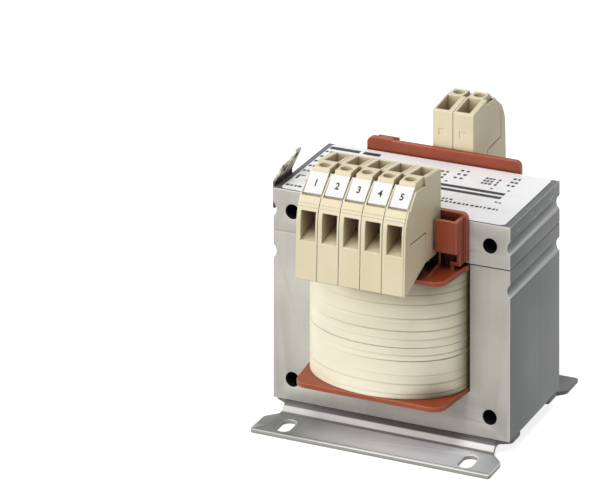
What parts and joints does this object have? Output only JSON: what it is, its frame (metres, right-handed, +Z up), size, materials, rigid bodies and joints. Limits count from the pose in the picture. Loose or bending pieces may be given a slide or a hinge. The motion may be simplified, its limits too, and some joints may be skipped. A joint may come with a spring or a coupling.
{
  "type": "single-phase transformer",
  "caption": "Single-phase control transformer with an EI core on folded feet, a taped winding on a moulded bobbin, and clamp terminals in front and behind.",
  "frame": {"origin": "middle of the mounting plane under the feet", "axes": "+Z up, -Y towards the front row of terminals, +X to the right seen from the front"},
  "size_m": [0.0848, 0.1092, 0.0926],
  "materials": {
    "lamination_steel": "satin",
    "zinc_plated_steel": "satin",
    "terracotta_polyamide": "satin",
    "enamelled_copper": "glossy",
    "tinned_copper": "satin",
    "insulation_film": "satin",
    "cream_tape": "satin",
    "label_film": "satin",
    "tinned_brass": "satin",
    "beige_polyamide": "satin",
    "marker_white": "satin",
    "clamp_steel": "satin"
  },
  "bodies": {
    "root": {"bobbin": "terracotta_polyamide", "cage_1": "clamp_steel", "cage_2": "clamp_steel", "cage_3": "clamp_steel", "cage_4": "clamp_steel", "cage_5": "clamp_steel", "cage_6": "clamp_steel", "cage_7": "clamp_steel", "clamp_screw_1": "clamp_steel", "clamp_screw_2": "clamp_steel", "clamp_screw_3": "clamp_steel", "clamp_screw_4": "clamp_steel", "clamp_screw_5": "clamp_steel", "clamp_screw_6": "clamp_steel", "clamp_screw_7": "clamp_steel", "core_e_stack": "lamination_steel", "core_i_stack": "lamination_steel", "current_bar_1": "tinned_copper", "current_bar_2": "tinned_copper", "current_bar_3": "tinned_copper", "current_bar_4": "tinned_copper", "current_bar_5": "tinned_copper", "current_bar_6": "tinned_copper", "current_bar_7": "tinned_copper", "earth_tab": "tinned_brass", "end_plate": "beige_polyamide", "front_foot": "zinc_plated_steel", "front_leads": "tinned_copper", "interlayer_insulation": "insulation_film", "marker_1": "marker_white", "marker_2": "marker_white", "marker_3": "marker_white", "marker_4": "marker_white", "marker_5": "marker_white", "marker_6": "marker_white", "marker_7": "marker_white", "outer_wrap": "cream_tape", "primary_winding": "enamelled_copper", "rating_label": "label_film", "rear_foot": "zinc_plated_steel", "rear_leads": "tinned_copper", "secondary_winding": "enamelled_copper", "terminal_1": "beige_polyamide", "terminal_2": "beige_polyamide", "terminal_3": "beige_polyamide", "terminal_4": "beige_polyamide", "terminal_5": "beige_polyamide", "terminal_6": "beige_polyamide", "terminal_7": "beige_polyamide"}
  },
  "joints": []
}
